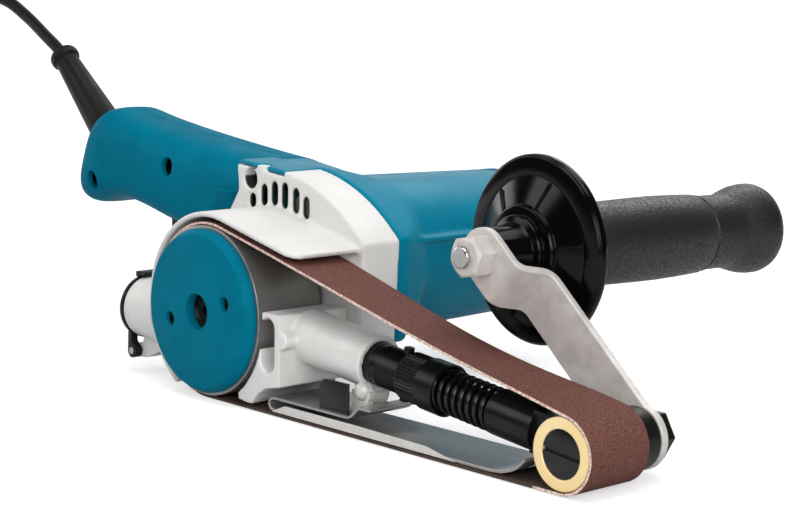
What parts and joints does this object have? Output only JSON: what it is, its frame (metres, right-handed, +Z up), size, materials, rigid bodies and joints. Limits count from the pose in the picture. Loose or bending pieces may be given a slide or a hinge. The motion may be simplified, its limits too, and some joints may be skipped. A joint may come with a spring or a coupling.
{
  "type": "power file",
  "caption": "Power file: a narrow abrasive belt on a sprung arm, driven by a crosswise motor, with a rear handle, side grip, dust nozzle and mains cord.",
  "frame": {"origin": "middle of the lower belt run, on the belt's outer face", "axes": "+X forward along the arm to the idler, +Y to the motor and side grip, +Z up from the lower belt run"},
  "size_m": [0.5281, 0.2262, 0.1575],
  "materials": {
    "teal_plastic": "satin",
    "teal_disc": "satin",
    "white_cast": "satin",
    "white_plastic": "satin",
    "bare_aluminium": "cast",
    "turned_steel": "turned",
    "dark_steel": "oiled",
    "strip_steel": "satin",
    "sheet_steel": "bright",
    "bearing_steel": "ground",
    "gear_steel": "ground",
    "core_steel": "plain",
    "copper": "varnished",
    "brass": "plain",
    "carbon": "matt",
    "black_plastic": "satin",
    "black_axle": "black oxide",
    "grip_plastic": "gloss",
    "black_rubber": "matt",
    "tie_fabric": "matt",
    "gold_roller": "plated",
    "pulley_metal": "plated",
    "abrasive": "gritty"
  },
  "bodies": {
    "frame": {"gear_housing": "white_cast", "bearing_plate": "bare_aluminium", "motor_housing": "teal_plastic", "rear_cover": "teal_plastic", "rear_cover_screws": "dark_steel", "handle_near": "teal_plastic", "handle_far": "teal_plastic", "handle_screws": "dark_steel", "housing_screws": "dark_steel", "arm_screws": "dark_steel", "field_stator": "core_steel", "field_coils": "copper", "brush_holders": "brass", "brushes": "carbon", "brush_caps": "black_plastic", "spindle_front_bearing": "bearing_steel", "spindle_rear_bearing": "bearing_steel", "armature_front_bearing": "bearing_steel", "armature_rear_bearing": "bearing_steel", "switch_body": "black_plastic", "cord_guard": "black_rubber", "cord": "black_rubber", "cord_coil": "black_rubber", "cord_tie": "tie_fabric", "plug": "black_rubber", "arm_bracket": "bare_aluminium", "tension_tube": "dark_steel", "stop_pin": "dark_steel", "tension_spring": "dark_steel", "belt_shoe": "sheet_steel", "shoe_screw": "turned_steel", "dust_nozzle": "white_plastic", "cap_pin": "turned_steel", "abrasive_belt": "abrasive"},
    "armature": {"armature_shaft": "turned_steel", "armature_core": "core_steel", "armature_windings": "copper", "commutator": "copper", "fan": "black_plastic"},
    "pulley": {"spindle": "turned_steel", "spindle_gear": "gear_steel", "drive_pulley": "pulley_metal", "pulley_disc": "teal_disc", "disc_screws": "dark_steel", "pulley_screw": "dark_steel"},
    "plunger": {"tension_plunger": "dark_steel", "idler_axle": "black_axle", "axle_spacer": "black_plastic"},
    "rollers": {"idler_rollers": "gold_roller"},
    "grip": {"grip_bracket": "strip_steel", "bracket_bolt": "dark_steel", "side_grip": "grip_plastic", "grip_stud": "turned_steel", "grip_nut": "strip_steel"},
    "tension_nut": {"tension_nut": "dark_steel"},
    "trigger": {"trigger": "black_plastic"},
    "lock": {"lock_button": "black_plastic"},
    "dial": {"speed_dial": "black_plastic"},
    "cap": {"dust_cap": "black_plastic"}
  },
  "joints": [
    {"name": "drive_spin", "type": "hinge", "parent": "frame", "child": "pulley", "pos_m": [-0.0955, 0, 0.0353], "axis": [0, 1, 0], "continuous": true},
    {"name": "armature_spin", "type": "hinge", "parent": "frame", "child": "armature", "pos_m": [-0.0804, 0.08, 0.05395], "axis": [0, 1, 0], "continuous": true},
    {"name": "tension_slide", "type": "slide", "parent": "frame", "child": "plunger", "axis": [0.9937, 0, -0.1119], "range_m": [-0.005, 0], "stiffness_N_per_m": 3000, "springref_m": 0.01, "deforming": ["tension_spring", "abrasive_belt"]},
    {"name": "idler_spin", "type": "hinge", "parent": "plunger", "child": "rollers", "pos_m": [0.0955, 0, 0.0138], "axis": [0, 1, 0], "continuous": true},
    {"name": "grip_swing", "type": "hinge", "parent": "plunger", "child": "grip", "pos_m": [0.0955, 0.025, 0.0138], "axis": [0, 1, 0], "range_deg": [-8, 70]},
    {"name": "nut_turn", "type": "hinge", "parent": "frame", "child": "tension_nut", "pos_m": [0.01778, 0, 0.02255], "axis": [0.9937, 0, -0.1119], "range_deg": [-180, 180]},
    {"name": "trigger_pull", "type": "hinge", "parent": "frame", "child": "trigger", "pos_m": [-0.1875, 0.062, 0.062], "axis": [0, 1, 0], "range_deg": [0, 8], "stiffness_Nm_per_rad": 1.2, "springref_deg": -11.46},
    {"name": "lock_press", "type": "slide", "parent": "frame", "child": "lock", "axis": [0, -1, 0], "range_m": [0, 0.0022], "stiffness_N_per_m": 400, "springref_m": -0.003},
    {"name": "dial_turn", "type": "hinge", "parent": "frame", "child": "dial", "pos_m": [-0.0804, 0.14, 0.02945], "axis": [0, 1, 0], "range_deg": [0, 270]},
    {"name": "cap_swing", "type": "hinge", "parent": "frame", "child": "cap", "pos_m": [-0.1575, 0, 0.0086], "axis": [0, -1, 0], "range_deg": [0, 95]}
  ],
  "couplings": [
    {"joint": "armature_spin", "follows": "drive_spin", "ratio": -5},
    {"joint": "idler_spin", "follows": "drive_spin", "ratio": 2.72}
  ]
}
